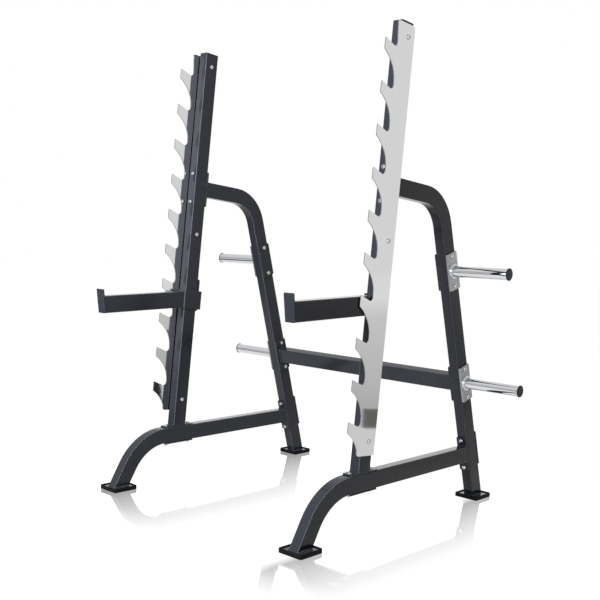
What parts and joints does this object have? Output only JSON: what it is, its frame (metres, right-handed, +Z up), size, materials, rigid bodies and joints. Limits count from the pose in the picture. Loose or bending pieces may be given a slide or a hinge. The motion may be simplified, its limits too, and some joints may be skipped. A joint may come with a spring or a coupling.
{
  "type": "squat rack",
  "caption": "Free-standing squat rack with toothed steel bar hooks, bent side frames tied by a crossbar, plate storage horns and height-adjustable safety arms.",
  "frame": {"origin": "on the floor, in the middle of the rack's footprint", "axes": "+Z up, +Y from the open front with the bar hooks to the rear legs, +X to the right-hand side frame as seen from the front"},
  "size_m": [1.8226, 1.405, 2.1028],
  "materials": {
    "powder_coat": "near-black blue-grey powder coat, semi-gloss",
    "stainless_plate": "brushed stainless plate with bright cut edges",
    "chromed_horn": "polished chrome plate",
    "zinc_fasteners": "bright zinc plate",
    "black_rubber": "matt moulded rubber",
    "black_plastic": "satin moulded plastic"
  },
  "bodies": {
    "frame": {"crossbar": "powder_coat", "left_base_backing_plate": "powder_coat", "left_base_joint_bolt_lower": "zinc_fasteners", "left_base_joint_bolt_upper": "zinc_fasteners", "left_base_tube": "powder_coat", "left_front_foot_pad": "black_rubber", "left_hook_plate": "stainless_plate", "left_hook_plate_bolt_lower": "zinc_fasteners", "left_hook_plate_bolt_middle": "zinc_fasteners", "left_hook_plate_bolt_upper": "zinc_fasteners", "left_horn_backing_plate": "powder_coat", "left_lower_horn": "chromed_horn", "left_lower_horn_bolt_lower": "zinc_fasteners", "left_lower_horn_bolt_upper": "zinc_fasteners", "left_lower_horn_cap": "black_plastic", "left_rear_foot_pad": "black_rubber", "left_rear_leg": "powder_coat", "left_seat_backing_plate": "powder_coat", "left_seat_bolt_front": "zinc_fasteners", "left_seat_bolt_rear": "zinc_fasteners", "left_top_arm_bolt_lower": "zinc_fasteners", "left_top_arm_bolt_upper": "zinc_fasteners", "left_upper_horn": "chromed_horn", "left_upper_horn_bolt_lower": "zinc_fasteners", "left_upper_horn_bolt_upper": "zinc_fasteners", "left_upper_horn_cap": "black_plastic", "left_upright": "powder_coat", "left_upright_cap": "black_plastic", "right_base_backing_plate": "powder_coat", "right_base_joint_bolt_lower": "zinc_fasteners", "right_base_joint_bolt_upper": "zinc_fasteners", "right_base_tube": "powder_coat", "right_front_foot_pad": "black_rubber", "right_hook_plate": "stainless_plate", "right_hook_plate_bolt_lower": "zinc_fasteners", "right_hook_plate_bolt_middle": "zinc_fasteners", "right_hook_plate_bolt_upper": "zinc_fasteners", "right_horn_backing_plate": "powder_coat", "right_lower_horn": "chromed_horn", "right_lower_horn_bolt_lower": "zinc_fasteners", "right_lower_horn_bolt_upper": "zinc_fasteners", "right_lower_horn_cap": "black_plastic", "right_rear_foot_pad": "black_rubber", "right_rear_leg": "powder_coat", "right_seat_backing_plate": "powder_coat", "right_seat_bolt_front": "zinc_fasteners", "right_seat_bolt_rear": "zinc_fasteners", "right_top_arm_bolt_lower": "zinc_fasteners", "right_top_arm_bolt_upper": "zinc_fasteners", "right_upper_horn": "chromed_horn", "right_upper_horn_bolt_lower": "zinc_fasteners", "right_upper_horn_bolt_upper": "zinc_fasteners", "right_upper_horn_cap": "black_plastic", "right_upright": "powder_coat", "right_upright_cap": "black_plastic"},
    "left_arm": {"left_safety_arm": "powder_coat", "left_bearing_pad": "black_plastic"},
    "right_arm": {"right_safety_arm": "powder_coat", "right_bearing_pad": "black_plastic"}
  },
  "joints": [
    {"name": "left_arm_slide", "type": "slide", "parent": "frame", "child": "left_arm", "axis": [0, 0.0879, 0.9961], "range_m": [-0.4405, 0.267]},
    {"name": "right_arm_slide", "type": "slide", "parent": "frame", "child": "right_arm", "axis": [0, 0.0879, 0.9961], "range_m": [-0.5005, 0.207]}
  ]
}
